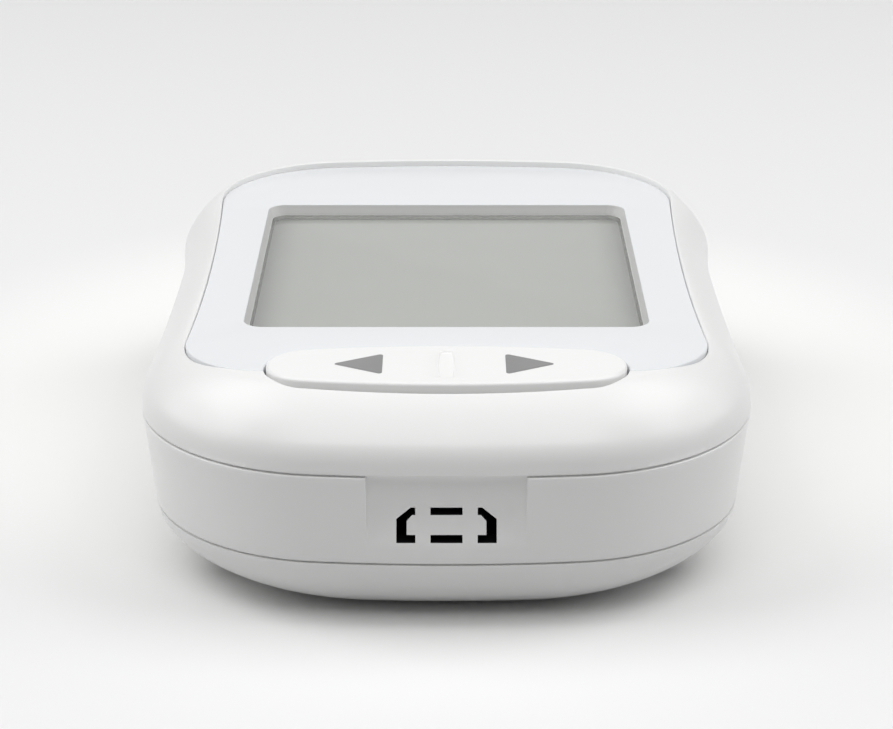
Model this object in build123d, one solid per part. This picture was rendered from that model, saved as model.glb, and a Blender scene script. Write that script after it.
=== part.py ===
from build123d import *
import math
import os

# Blood glucose meter lying on its back, in millimetres: X across, Y along, Z up.
# The origin is the middle of the base. The near end (-Y) has the key and the data
# port blank, and the far end (+Y) takes the test strip.

# ---------------------------------------------------------------- body
body_length = 77.0
near_lobe_width = 53.6
far_lobe_width = 54.1
waist_draw_in = 0.55  # on each side, from the near lobe
waist_setback = 31.0  # from the far end
near_corner_radius = 17.3
far_corner_radius = 17.3
end_bow_radius = 110.0
lower_height = 6.4
band_height = 8.2
upper_height = 6.2
far_rim_rise = 0.6  # the rim climbs this much between the panel's near and far edges
crown_side_width = 4.6
crown_end_width = 5.7
crown_chamfer = 3.0  # inside, behind the crown
under_side_width = 10.2
under_end_width = 7.95
under_curve_power = 1.75  # of its superellipse; 2 would be a plain ellipse
under_corner_share = 0.45  # of its width that the corner radii lose, so the corners tuck under
band_side_draft = 0.95
band_end_draft = 0.8
inner_inset = 2.4  # inner faces of all three shells, in from the widest outline
floor_thickness = 1.8
floor_chamfer_width = 6.0  # inside, along the foot of the wall
wall_foot_gap = 0.9  # upright wall left above that chamfer
ledge_thickness = 1.0  # skin of the upper case under the face panel
lip_height = 1.0
lip_thickness = 0.8
lip_gap = 0.1
seam_width = 0.18  # shadow line at each parting plane
seam_depth = 0.35

# ---------------------------------------------------------------- face panel and display
panel_near_setback = 8.5
panel_far_setback = 5.6
panel_margin = 4.15  # in from the widest sides, at each lobe
panel_waist_margin = 4.6  # in from the near lobe
panel_waist_setback = 32.5
panel_near_corner_radius = 7.0
panel_far_corner_radius = 12.3
panel_far_bow_radius = 110.0
panel_thickness = 1.0
panel_gap = 0.12
window_width = 36.0
window_length = 37.4
window_near_setback = 19.6
window_corner_radius = 1.8
lens_margin = 1.6
lens_thickness = 0.8
lcd_side_margin = 2.0
lcd_near_margin = 1.4
lcd_ledge_length = 3.0  # front glass only, over the zebra strip
lcd_plate_thickness = 1.0
lcd_rear_gap = 0.7  # frame floor between the rear glass and the board
light_hole_margin = 4.0  # in from the window
frame_wall = 0.9
fit_gap = 0.1
zebra_width = 2.0

# ---------------------------------------------------------------- rocker key
key_length = 30.5
key_width = 9.35
key_end_radius = 3.8
key_setback = 9.075  # of its middle
key_rise = 0.38  # over the panel
key_gap = 0.2
key_wall = 1.2
key_edge_radius = 0.3
key_skirt_depth = 2.6
key_groove_width = 1.35
key_groove_length = 6.4
key_groove_depth = 0.15
pivot_drop = 3.2  # pivot axis below the panel's face
pivot_radius = 0.8
pivot_gap = 0.06
pivot_reach = 1.95  # pivot ends past the key's front and rear edges
bearing_width = 4.0
bearing_length = 1.5
bearing_wall = 0.5  # under the pivot
web_width = 2.4
switch_offset = 8.0
switch_size = 4.5
switch_height = 1.1
switch_button_radius = 1.1
switch_button_height = 0.4
switch_travel_gap = 0.45
plunger_radius = 1.2

# ---------------------------------------------------------------- data port blank
port_recess_width = 13.3
port_recess_depth = 0.65
port_top_drop = 3.2  # below the upper parting plane
port_width = 8.34
port_height = 3.0
port_stroke = 0.86
port_bar_stroke = 0.66
port_chamfer_across = 1.2
port_chamfer_down = 1.0
port_bar_half = 1.33
port_bracket_inner = 2.59

# ---------------------------------------------------------------- board and what it carries
board_thickness = 1.2
post_near = (8.0, 14.0)  # in from the widest side, and from the near end
post_far = (8.8, 11.0)  # the same, from the far end
post_radius = 2.6
sleeve_radius = 3.3
screw_radius = 1.0
screw_length = 10.0
screw_grip = 3.2  # length that turns into the post
screw_head_radius = 1.9
screw_head_height = 1.3
screw_recess = (2.2, 0.5, 0.6)  # width, slot and depth of the cross
screw_fit = 0.02
buzzer_y = 8.0
buzzer_radius = 4.4
buzzer_height = 2.0
buzzer_hole_radius = 0.6
chip_y = 8.0
chip_size = 7.0
chip_height = 0.9
chip_lead_length = 0.5
chip_lead_count = 8
chip_corner = 0.4
lead_share = 0.25  # of the package height
memory_y = -3.0
memory_width = 4.0
memory_length = 5.0
memory_height = 1.4
memory_lead = (1.0, 0.5)  # length out of the package, width
memory_lead_count = 4
crystal_y = -11.0
crystal_radius = 1.0
crystal_length = 6.2
crystal_leg = (0.3, 1.2)  # width, length beyond the can
chip_part_size = (1.6, 0.8, 0.55)
chip_part_pitch = (3.2, 2.2)  # between columns and between rows
chip_part_rows = 4
chip_part_y = -4.0

# ---------------------------------------------------------------- test strip port
strip_width = 6.8
strip_slot_height = 1.3
strip_drop = 1.6  # middle of the strip below the board
guide_width = 10.0
guide_height = 3.4
guide_flange = 1.0
guide_flange_thickness = 0.7
guide_flare = 0.9
connector_width = 9.4
connector_length = 7.4
connector_height = 3.2
contact_count = 5
contact_pitch = 1.27
contact_width = 0.6
contact_thickness = 0.25
connector_end_wall = 1.0
finger_foot = 1.2  # from the connector's near end
finger_knee = 1.0  # above the strip's middle
finger_touch = (2.4, 0.2)  # from the far end, above the middle
finger_tip = (1.4, 0.9)

# ---------------------------------------------------------------- batteries
cell_radius = 5.25
cell_length = 44.5
cell_chamfer = 0.4
nub_radius = 1.9
nub_height = 0.8
cell_spacing = 0.7  # between the two cells
cell_gap = 0.3
bay_wall = 1.6
bay_roof = 0.9
bay_end_near = 3.75
bay_end_far = 1.75
contact_plate = 0.4
contact_half_width = 4.0
contact_height = 7.0
bow_margin = 0.4  # bowed leaf in from its plate's sides
bow_height = 4.7
tail_width = 1.6
tail_rise = 0.5  # above the board
contact_clearance = 0.15
door_thickness = 1.4
door_recess = 0.2
door_gap = 0.2
door_ledge = 1.1
door_corner_radius = 1.6
tongue_width = 4.0
tongue_length = 1.5
tongue_thickness = 0.6
tongue_offset = 7.0
tongue_room = 2.1  # above the tongues, for the swing
latch_width = 8.0
latch_slit = 0.7
latch_length = 6.0
grip_groove_count = 4
grip_groove_pitch = 1.5
grip_groove_radius = 0.3
grip_groove_margin = 0.8  # in from the tab's sides
scoop_radius = 9.0
scoop_depth = 0.8

lap = 0.5  # joined solids run this far into each other
overcut = 1.0  # a cut runs this far past what it cuts

# ---------------------------------------------------------------- planes worked out from the above
near_half = near_lobe_width / 2
far_half = far_lobe_width / 2
widest_half = max(near_half, far_half)
waist_half = near_half - waist_draw_in
near_y = -body_length / 2
far_y = body_length / 2
lower_seam_z = lower_height
upper_seam_z = lower_seam_z + band_height
panel_z = upper_seam_z + upper_height
pocket_z = panel_z - panel_thickness
ledge_z = pocket_z - ledge_thickness
lens_z = ledge_z - lens_thickness
board_z = lens_z - 2 * lcd_plate_thickness - lcd_rear_gap - fit_gap
board_under_z = board_z - board_thickness
board_inset = inner_inset + guide_flange_thickness + fit_gap
panel_near_y = near_y + panel_near_setback
panel_far_y = far_y - panel_far_setback
key_y = near_y + key_setback
window_near_y = near_y + window_near_setback
window_far_y = window_near_y + window_length
key_z = panel_z + key_rise
pivot_z = panel_z - pivot_drop
cell_pitch = 2 * cell_radius + cell_spacing
cell_z = door_recess + door_thickness + cell_gap + cell_radius
bay_roof_z = cell_z + cell_radius + cell_gap
bay_half_width = cell_pitch / 2 + cell_radius + cell_gap
side_bay_x = (bay_half_width + bay_wall + waist_half - inner_inset) / 2
bay_near_y = -cell_length / 2 - bay_end_near + (bay_end_near - bay_end_far) / 2
bay_far_y = bay_near_y + bay_end_near + cell_length + bay_end_far
cell_near_y = bay_near_y + bay_end_near
cell_far_y = cell_near_y + cell_length
strip_z = board_under_z - strip_drop
screw_seat_z = board_z + screw_grip - screw_length
posts = [
    (side * across, along)
    for across, along in (
        (near_half - post_near[0], near_y + post_near[1]),
        (far_half - post_far[0], far_y - post_far[1]),
    )
    for side in (-1, 1)
]

body_plan = {
    "near": near_y,
    "far": far_y,
    "near_half": near_half,
    "far_half": far_half,
    "waist_half": waist_half,
    "waist": far_y - waist_setback,
    "near_corner": near_corner_radius,
    "far_corner": far_corner_radius,
    "near_bow": end_bow_radius,
    "far_bow": end_bow_radius,
}
panel_plan = {
    "near": panel_near_y,
    "far": panel_far_y,
    "near_half": near_half - panel_margin,
    "far_half": far_half - panel_margin,
    "waist_half": near_half - panel_waist_margin,
    "waist": near_y + panel_waist_setback,
    "near_corner": panel_near_corner_radius,
    "far_corner": panel_far_corner_radius,
    "near_bow": None,
    "far_bow": panel_far_bow_radius,
}


# ---------------------------------------------------------------- plan curves
def corner_centre(half_width, end_y, corner_radius, bow_radius, inward):
    """Centre of the right-hand corner arc, tangent to the side and to the end."""
    across = half_width - corner_radius
    if bow_radius is None:
        return Vector(across, end_y + inward * corner_radius)
    along = bow_radius - math.sqrt((bow_radius - corner_radius) ** 2 - across**2)
    return Vector(across, end_y + inward * along)


def end_point(centre, end_y, corner_radius, bow_radius, inward):
    """Where the corner arc meets the end, which is straight or bowed."""
    if bow_radius is None:
        return Vector(centre.X, end_y)
    bow_centre = Vector(0, end_y + inward * bow_radius)
    return centre + (centre - bow_centre).normalized() * corner_radius


def hollow_centre(centre, corner_radius, half_width, waist_half, waist_y):
    """Centre of the hollow side arc that leaves the corner arc and ends at the waist."""
    dip = half_width - waist_half
    run = waist_y - centre.Y
    radius = (run**2 / dip + dip) / 2 - corner_radius
    return Vector(waist_half + radius, waist_y)


def arc_about(centre, start, end):
    """Short arc from start to end about a centre."""
    towards = ((start - centre) + (end - centre)).normalized()
    return ThreePointArc(start, centre + towards * (start - centre).length, end)


def drawn_in(plan, sides, ends, corners):
    """The same plan with its sides, ends and corner radii drawn in by these amounts."""
    inner = dict(plan)
    for key in ("near_half", "far_half", "waist_half"):
        inner[key] = plan[key] - sides
    for key in ("near_corner", "far_corner"):
        inner[key] = plan[key] - corners
    for key in ("near_bow", "far_bow"):
        inner[key] = plan[key] and plan[key] - ends
    inner["near"], inner["far"] = plan["near"] + ends, plan["far"] - ends
    return inner


def waisted_outline(plan, inset=0.0):
    """Face of tangent arcs: two ends, four round corners and a drawn-in waist."""
    plan = drawn_in(plan, inset, inset, inset)
    near, far = plan["near"], plan["far"]
    near_corner, far_corner = plan["near_corner"], plan["far_corner"]
    near_bow, far_bow = plan["near_bow"], plan["far_bow"]
    waist = Vector(plan["waist_half"], plan["waist"])
    near_centre = corner_centre(plan["near_half"], near, near_corner, near_bow, 1)
    far_centre = corner_centre(plan["far_half"], far, far_corner, far_bow, -1)
    near_end = end_point(near_centre, near, near_corner, near_bow, 1)
    far_end = end_point(far_centre, far, far_corner, far_bow, -1)
    near_hollow = hollow_centre(near_centre, near_corner, plan["near_half"], waist.X, waist.Y)
    far_hollow = hollow_centre(far_centre, far_corner, plan["far_half"], waist.X, waist.Y)
    near_side = near_centre + (near_hollow - near_centre).normalized() * near_corner
    far_side = far_centre + (far_hollow - far_centre).normalized() * far_corner
    right = [
        arc_about(near_centre, near_end, near_side),
        arc_about(near_hollow, near_side, waist),
        arc_about(far_hollow, waist, far_side),
        arc_about(far_centre, far_side, far_end),
    ]
    left = [edge.mirror(Plane.YZ) for edge in right]
    ends = []
    for point, end_y, bow in ((near_end, near, near_bow), (far_end, far, far_bow)):
        across = Vector(-point.X, point.Y)
        if bow is None:
            ends.append(Line(point, across))
        else:
            ends.append(ThreePointArc(point, (0, end_y), across))
    return Face(Wire(right + left + ends))


def oval_outline(length, width, end_radius):
    """Face of a bar with round ends and bowed long sides, about the origin."""
    across = length / 2 - end_radius
    rise = width / 2
    bow = (across**2 + rise**2 - end_radius**2) / (2 * (rise - end_radius))
    end_centre = Vector(across, 0)
    top = end_centre + (end_centre - Vector(0, rise - bow)).normalized() * end_radius
    low = Vector(top.X, -top.Y)
    edges = [
        ThreePointArc(low, (length / 2, 0), top),
        ThreePointArc((-low.X, low.Y), (-length / 2, 0), (-top.X, top.Y)),
        ThreePointArc(top, (0, rise), (-top.X, top.Y)),
        ThreePointArc(low, (0, -rise), (-low.X, low.Y)),
    ]
    return Face(Wire(edges))


def raised(face, low_z, high_z):
    """A flat outline extruded between two heights."""
    return extrude(Pos(0, 0, low_z) * face, amount=high_z - low_z, dir=(0, 0, 1))


def box_between(low, high):
    """A box given by its two corners."""
    size = [b - a for a, b in zip(low, high)]
    middle = [(a + b) / 2 for a, b in zip(low, high)]
    return Pos(*middle) * Box(*size)


def rod(centre, radius, low_z, high_z):
    """An upright cylinder between two heights."""
    middle = (low_z + high_z) / 2
    return Pos(centre[0], centre[1], middle) * Cylinder(radius, high_z - low_z)


def window_block(low_z, high_z, margin=0.0):
    """The display window, as a block with rounded corners."""
    face = RectangleRounded(
        window_width + 2 * margin, window_length + 2 * margin, window_corner_radius
    )
    return raised(Pos(0, (window_near_y + window_far_y) / 2) * face, low_z, high_z)


def key_block(low_z, high_z, margin=0.0):
    """The key's oval, grown or shrunk by a margin."""
    face = oval_outline(
        key_length + 2 * margin, key_width + 2 * margin, key_end_radius + margin
    )
    return raised(Pos(0, key_y) * face, low_z, high_z)


# ---------------------------------------------------------------- shells
def crowned_shell(steps=5):
    """Loft from the upper seam to the rim, along a quarter ellipse.

    The rim climbs towards the far end, level with the panel at the panel's near edge,
    and the sections between slope in proportion.
    """
    slope = math.atan2(far_rim_rise, panel_far_y - panel_near_y)
    sections = []
    for step in range(steps + 1):
        turn = math.pi / 2 * step / steps
        tilt = slope * math.sin(turn)
        plane = Plane(
            origin=(0, panel_near_y, upper_seam_z + upper_height * math.sin(turn)),
            x_dir=(1, 0, 0),
            z_dir=(0, -math.sin(tilt), math.cos(tilt)),
        )
        sides = crown_side_width * (1 - math.cos(turn))
        ends = crown_end_width * (1 - math.cos(turn))
        plan = drawn_in(body_plan, sides, ends, (sides + ends) / 2)
        sections.append(plane * Pos(0, -panel_near_y) * waisted_outline(plan))
    return loft(sections)


def band_foot(inset=0.0):
    """The body's plan at the lower seam, below the drafted band, drawn in further by an inset."""
    sides, ends = band_side_draft + inset, band_end_draft + inset
    return drawn_in(body_plan, sides, ends, (sides + ends) / 2)


def drafted_block():
    """Solid between the two seams, its sides leaning in towards the base."""
    top = Pos(0, 0, upper_seam_z) * waisted_outline(body_plan)
    low = Pos(0, 0, lower_seam_z) * waisted_outline(band_foot())
    return loft([low, top], ruled=True)


def under_shell(steps=6):
    """Loft from the flat base to the lower seam, along a quarter superellipse.

    The corners stay rounder than an even inset would leave them, and tuck under more.
    """
    corner_width = under_corner_share * (under_side_width + under_end_width) / 2
    widths = (under_side_width, under_end_width, corner_width)
    sections = []
    for step in range(steps, -1, -1):
        turn = math.pi / 2 * step / steps
        inward = 1 - max(0.0, math.cos(turn)) ** (2 / under_curve_power)
        downward = math.sin(turn) ** (2 / under_curve_power)
        plan = drawn_in(band_foot(), *(width * inward for width in widths))
        sections.append(Pos(0, 0, lower_seam_z * (1 - downward)) * waisted_outline(plan))
    return loft(sections)


def upper_case():
    """Crowned top shell with the panel's pocket, the posts and the key's bearings."""
    high_z = panel_z + far_rim_rise + overcut
    outer = crowned_shell()
    hollow = raised(waisted_outline(body_plan, inner_inset), upper_seam_z, ledge_z)
    hollow = chamfer(hollow.faces().sort_by(Axis.Z)[-1].edges(), crown_chamfer)
    shell = outer - hollow

    for x, y in posts:
        shell += rod((x, y), post_radius, board_z, ledge_z + lap)
    bearing_y = key_y + key_width / 2 + pivot_reach
    shell += box_between(
        (-bearing_width / 2, bearing_y - bearing_length, pivot_z - pivot_radius - bearing_wall),
        (bearing_width / 2, bearing_y, ledge_z + lap),
    )

    pocket = waisted_outline(panel_plan, -panel_gap)
    shell -= raised(pocket, pocket_z, high_z)
    shell -= window_block(ledge_z - overcut, high_z)
    shell -= key_block(pivot_z - pivot_radius, high_z, key_gap)
    shell -= pivot_rod(pivot_gap)
    rebate = waisted_outline(body_plan, inner_inset - lip_thickness - lip_gap)
    rebate -= waisted_outline(body_plan, inner_inset + lip_gap)
    shell -= raised(rebate, upper_seam_z, upper_seam_z + lip_height + lip_gap)
    for x, y in posts:
        shell -= rod((x, y), screw_radius + screw_fit, board_z, board_z + screw_grip)
    return shell


def pivot_rod(margin=0.0):
    """The key's pivot, or with a margin the bore that it turns in."""
    reach = key_width / 2 + pivot_reach + margin
    bar = Cylinder(pivot_radius + margin, 2 * reach)
    return Pos(0, key_y, pivot_z) * Rot(90, 0, 0) * bar


def port_slots():
    """Black outline of the data port blank: two brackets and two bars, cut right through."""
    half = port_width / 2
    top = upper_seam_z - port_top_drop
    low = top - port_height
    across, down = port_chamfer_across, port_chamfer_down
    outer = [(-half, low), (half, low), (half, top - down), (half - across, top)]
    outer += [(-half + across, top), (-half, top - down)]
    inner_half = half - port_stroke
    inner_top, inner_low = top - port_bar_stroke, low + port_bar_stroke
    inner = [(-inner_half, inner_low), (inner_half, inner_low), (inner_half, inner_top - down)]
    inner += [(inner_half - across, inner_top), (-inner_half + across, inner_top)]
    inner += [(-inner_half, inner_top - down)]
    ring = make_face(Polyline(*outer, close=True)) - make_face(Polyline(*inner, close=True))
    for side in (-1, 1):
        middle = side * (port_bar_half + port_bracket_inner) / 2
        bridge = Rectangle(port_bracket_inner - port_bar_half, 2 * port_height)
        ring -= Pos(middle, (top + low) / 2) * bridge
    start = Plane.XZ.offset(-near_y - inner_inset - overcut)
    return extrude(start * ring, amount=inner_inset + 2 * overcut)


def mid_case():
    """Drafted band between the two seams, with the port blank and the strip opening."""
    band = drafted_block() - raised(waisted_outline(body_plan, inner_inset), 0, panel_z)

    lip = raised(
        waisted_outline(body_plan, inner_inset - lip_thickness),
        upper_seam_z - lip_height,
        upper_seam_z + lip_height,
    )
    band += lip - raised(waisted_outline(body_plan, inner_inset), 0, panel_z)
    rebate = waisted_outline(body_plan, inner_inset - lip_thickness - lip_gap)
    band -= raised(rebate, lower_seam_z, lower_seam_z + lip_height + lip_gap)
    rim = waisted_outline(body_plan, -overcut) - waisted_outline(body_plan, seam_depth)
    band -= raised(rim, upper_seam_z - seam_width, upper_seam_z + lip_height)

    half = port_recess_width / 2
    band -= box_between(
        (-half, near_y - overcut, lower_seam_z), (half, near_y + port_recess_depth, panel_z)
    )
    band -= port_slots()
    band -= guide_body(fit_gap)
    return band


def lower_case():
    """Base shell: under-curve, battery bay, screw sleeves and the door's seat."""
    foot = lower_height - floor_thickness - wall_foot_gap
    shell = under_shell()
    within = shell + raised(waisted_outline(body_plan, inner_inset / 2), lower_seam_z, panel_z)
    hollow = raised(waisted_outline(body_plan, inner_inset), floor_thickness, lower_seam_z)
    floor_edges = hollow.faces().sort_by(Axis.Z)[0].edges()
    shell -= chamfer(floor_edges, foot, floor_chamfer_width)
    rim = waisted_outline(body_plan, -overcut)
    rim -= waisted_outline(band_foot(seam_depth))
    shell -= raised(rim, lower_seam_z - seam_width, lower_seam_z)

    lip = waisted_outline(body_plan, inner_inset - lip_thickness)
    lip -= waisted_outline(body_plan, inner_inset)
    shell += raised(lip, lower_seam_z - seam_width, lower_seam_z + lip_height)

    bay = box_between(
        (-bay_half_width - bay_wall, bay_near_y - bay_wall, floor_thickness / 2),
        (bay_half_width + bay_wall, bay_far_y + bay_wall, bay_roof_z + bay_roof),
    )
    shell += bay
    for x, y in posts:
        shell += rod((x, y), sleeve_radius, floor_thickness, board_under_z) & within

    shell -= bay_space()
    shell -= tail_slots()
    for x, y in posts:
        shell -= rod((x, y), screw_radius + fit_gap, screw_seat_z, board_under_z)
        shell -= rod((x, y), screw_head_radius + 2 * fit_gap, -overcut, screw_seat_z)

    shell -= door_plate(door_gap, -overcut, door_recess + door_thickness)
    for side in (-1, 1):
        x = side * tongue_offset
        half = tongue_width / 2 + door_gap
        shell -= box_between(
            (x - half, bay_far_y, door_pivot_z - tongue_thickness / 2 - door_gap),
            (x + half, door_far_y + tongue_length + 2 * door_gap, door_pivot_z + tongue_room),
        )
    scoop_y = door_near_y - door_gap
    scoop = Pos(0, scoop_y, scoop_depth - scoop_radius) * Sphere(scoop_radius)
    shell -= scoop & box_between(
        (-widest_half, near_y, -overcut), (widest_half, scoop_y, scoop_depth + overcut)
    )
    return shell


def bay_space():
    """Room for two cells side by side, arched over each, and open at the bottom."""
    length = bay_far_y - bay_near_y
    middle = (bay_near_y + bay_far_y) / 2
    space = box_between(
        (-bay_half_width, bay_near_y, -overcut), (bay_half_width, bay_far_y, cell_z)
    )
    for side in (-1, 1):
        arch = Rot(90, 0, 0) * Cylinder(cell_radius + cell_gap, length)
        space += Pos(side * cell_pitch / 2, middle, cell_z) * arch
    for end_y, inward in ((bay_near_y, 1), (bay_far_y, -1)):
        depth = bay_end_near if inward == 1 else bay_end_far
        y_values = sorted((end_y, end_y + inward * depth))
        half = cell_pitch / 2 + contact_half_width + fit_gap
        high_z = cell_z + contact_height / 2 + fit_gap
        space += box_between((-half, y_values[0], 0), (half, y_values[1], high_z))
    return space


def tail_slots(margin=fit_gap):
    """Slots over the two far contacts, through which their tails reach the board."""
    slots = Part()
    for side in (-1, 1):
        x = side * cell_pitch / 2
        slots += box_between(
            (x - tail_width / 2 - margin, bay_far_y - contact_plate - margin, cell_z),
            (x + tail_width / 2 + margin, bay_far_y, board_z + overcut),
        )
    return slots


# ---------------------------------------------------------------- battery door
door_near_y = bay_near_y - door_ledge + door_gap
door_far_y = bay_far_y + door_ledge - door_gap
door_half_width = bay_half_width + door_ledge - door_gap
door_pivot_z = door_recess + door_thickness / 2


def door_plate(margin, low_z, high_z):
    """The door's outline with round corners, grown by a margin."""
    width = 2 * (door_half_width + margin)
    length = door_far_y - door_near_y + 2 * margin
    face = RectangleRounded(width, length, door_corner_radius)
    return raised(Pos(0, (door_near_y + door_far_y) / 2) * face, low_z, high_z)


def battery_door():
    """Plate with two tongues at its far edge and a slit snap tab at its near edge."""
    plate = door_plate(0, door_recess, door_recess + door_thickness)
    nose = box_between(
        (-widest_half, door_far_y - door_thickness / 2, -overcut),
        (widest_half, door_far_y + overcut, door_thickness + overcut),
    )
    round_nose = Pos(0, door_far_y - door_thickness / 2, door_pivot_z) * Rot(0, 90, 0)
    round_nose *= Cylinder(door_thickness / 2, 2 * (door_half_width - door_corner_radius))
    plate = plate - nose + round_nose
    for side in (-1, 1):
        x = side * tongue_offset
        plate += box_between(
            (x - tongue_width / 2, door_far_y - lap, door_pivot_z - tongue_thickness / 2),
            (x + tongue_width / 2, door_far_y + tongue_length, door_pivot_z + tongue_thickness / 2),
        )
        slit_x = side * (latch_width + latch_slit) / 2
        plate -= box_between(
            (slit_x - latch_slit / 2, door_near_y - overcut, -overcut),
            (slit_x + latch_slit / 2, door_near_y + latch_length, door_thickness + overcut),
        )
    groove = Rot(0, 90, 0) * Cylinder(grip_groove_radius, latch_width - 2 * grip_groove_margin)
    for index in range(grip_groove_count):
        plate -= Pos(0, door_near_y + grip_groove_pitch * (index + 1), door_recess) * groove
    return plate


# ---------------------------------------------------------------- face, display
def face_panel():
    """Flat cover with the display window and the rear half of the key's oval cut out."""
    plate = raised(waisted_outline(panel_plan), pocket_z, panel_z)
    plate -= window_block(pocket_z - overcut, panel_z + overcut)
    return plate - key_block(pocket_z - overcut, panel_z + overcut, key_gap)


def display_lens():
    """Clear window bonded under the upper case's ledge."""
    return window_block(lens_z, ledge_z, lens_margin)


def lcd_glass():
    """Two bonded plates; the front one runs on over the zebra strip."""
    half = window_width / 2 + lcd_side_margin
    low_y = window_near_y - lcd_near_margin
    high_y = window_far_y + lcd_near_margin
    front_z = lens_z - lcd_plate_thickness
    rear = box_between((-half, low_y, front_z - lcd_plate_thickness), (half, high_y, front_z))
    front = box_between((-half, low_y, front_z), (half, high_y + lcd_ledge_length, lens_z))
    return rear + front


def lcd_frame():
    """Tray that holds the glass on the board, open over the zebra strip."""
    half = window_width / 2 + lcd_side_margin + fit_gap
    low_y = window_near_y - lcd_near_margin - fit_gap
    high_y = window_far_y + lcd_near_margin + lcd_ledge_length + fit_gap
    outer = box_between(
        (-half - frame_wall, low_y - frame_wall, board_z),
        (half + frame_wall, high_y + frame_wall, lens_z),
    )
    floor_z = board_z + lcd_rear_gap
    inner = box_between((-half, low_y, floor_z), (half, high_y, lens_z + overcut))
    slot_y = high_y - fit_gap - lcd_ledge_length
    slot = box_between((-half, slot_y, board_z - overcut), (half, high_y, floor_z + overcut))
    light_hole = window_block(board_z - overcut, floor_z + overcut, -light_hole_margin)
    return outer - inner - slot - light_hole


def zebra_strip():
    """Rubber connector from the board's pads to the glass."""
    half = window_width / 2
    middle = window_far_y + lcd_near_margin + lcd_ledge_length / 2
    front_z = lens_z - lcd_plate_thickness
    return box_between(
        (-half, middle - zebra_width / 2, board_z), (half, middle + zebra_width / 2, front_z)
    )


# ---------------------------------------------------------------- key
def rocker_key():
    """Oval cap with a soft edge, hollow below, on a cross pivot with two plungers."""
    cap = key_block(key_z - key_skirt_depth, key_z)
    cap = fillet(cap.faces().sort_by(Axis.Z)[-1].edges(), key_edge_radius)
    cap -= key_block(key_z - key_skirt_depth - overcut, key_z - key_wall, -key_wall)
    web = box_between(
        (-web_width / 2, key_y - key_width / 2 + key_wall / 2, pivot_z - pivot_radius),
        (web_width / 2, key_y + key_width / 2 - key_wall / 2, key_z - key_wall / 2),
    )
    cap += web + pivot_rod()
    plunger_z = board_z + switch_height + switch_button_height + switch_travel_gap
    for side in (-1, 1):
        cap += rod((side * switch_offset, key_y), plunger_radius, plunger_z, key_z - key_wall / 2)
    groove = Rot(0, 0, 90) * SlotOverall(key_groove_length, key_groove_width)
    return cap - raised(Pos(0, key_y) * groove, key_z - key_groove_depth, key_z + overcut)


def tact_switches():
    """Two small press switches under the key's plungers."""
    switches = []
    for side in (-1, 1):
        middle = (side * switch_offset, key_y, board_z + switch_height / 2)
        body = Pos(*middle) * Box(switch_size, switch_size, switch_height)
        top_z = board_z + switch_height
        body += rod(middle, switch_button_radius, top_z, top_z + switch_button_height)
        switches.append(body)
    return group(switches)


# ---------------------------------------------------------------- board
def main_board():
    """Board that follows the shells, clamped between the posts and the sleeves."""
    board = raised(waisted_outline(body_plan, board_inset), board_under_z, board_z)
    for x, y in posts:
        board -= rod((x, y), screw_radius + fit_gap, board_under_z - overcut, board_z + overcut)
    return board - tail_slots()


def hung_box(x, y, size_x, size_y, height):
    """A block soldered to the board's underside."""
    low = (x - size_x / 2, y - size_y / 2, board_under_z - height)
    return box_between(low, (x + size_x / 2, y + size_y / 2, board_under_z))


def microcontroller():
    """Flat square package with leads on all four sides."""
    x, y = -side_bay_x, chip_y
    chip = hung_box(x, y, chip_size, chip_size, chip_height)
    chip = chamfer(chip.edges().filter_by(Axis.Z), chip_corner)
    pitch = chip_size / (chip_lead_count + 1)
    for lead in range(chip_lead_count):
        shift = (lead - (chip_lead_count - 1) / 2) * pitch
        reach = chip_size + 2 * chip_lead_length
        chip += hung_box(x + shift, y, pitch / 2, reach, chip_height * lead_share)
        chip += hung_box(x, y + shift, reach, pitch / 2, chip_height * lead_share)
    return chip


def memory_chip():
    """Small package with leads along two sides."""
    x, y = -side_bay_x, memory_y
    chip = hung_box(x, y, memory_width, memory_length, memory_height)
    reach = memory_width + 2 * memory_lead[0]
    for lead in range(memory_lead_count):
        shift = (lead - (memory_lead_count - 1) / 2) * memory_length / memory_lead_count
        chip += hung_box(x, y + shift, reach, memory_lead[1], memory_height * lead_share)
    return chip


def crystal():
    """Can lying against the board, with its two legs."""
    x, y = -side_bay_x, crystal_y
    can = Pos(x, y, board_under_z - crystal_radius) * Rot(90, 0, 0)
    can *= Cylinder(crystal_radius, crystal_length)
    leg_width, leg_length = crystal_leg
    for side in (-1, 1):
        leg_x = x + side * crystal_radius / 2
        can += hung_box(leg_x, y + crystal_length / 2, leg_width, 2 * leg_length, crystal_radius)
    return can


def chip_parts():
    """Small resistors and capacitors in two rows."""
    parts = []
    for side in (-1, 1):
        for row in range(chip_part_rows):
            x = side_bay_x + side * chip_part_pitch[0] / 2
            y = chip_part_y - chip_part_pitch[1] * row
            parts.append(hung_box(x, y, *chip_part_size))
    return group(parts)


def buzzer():
    """Round sounder with its sound hole."""
    x, y = side_bay_x, buzzer_y
    low_z = board_under_z - buzzer_height
    body = rod((x, y), buzzer_radius, low_z, board_under_z)
    return body - rod((x, y), buzzer_hole_radius, low_z - overcut, low_z + buzzer_height / 2)


# ---------------------------------------------------------------- strip port
def guide_body(margin=0.0):
    """The guide's block, which fills its opening in the band."""
    half = guide_width / 2 + margin
    rise = guide_height / 2 + margin
    return box_between(
        (-half, far_y - inner_inset - guide_flange_thickness, strip_z - rise),
        (half, far_y + overcut, strip_z + rise),
    )


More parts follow.
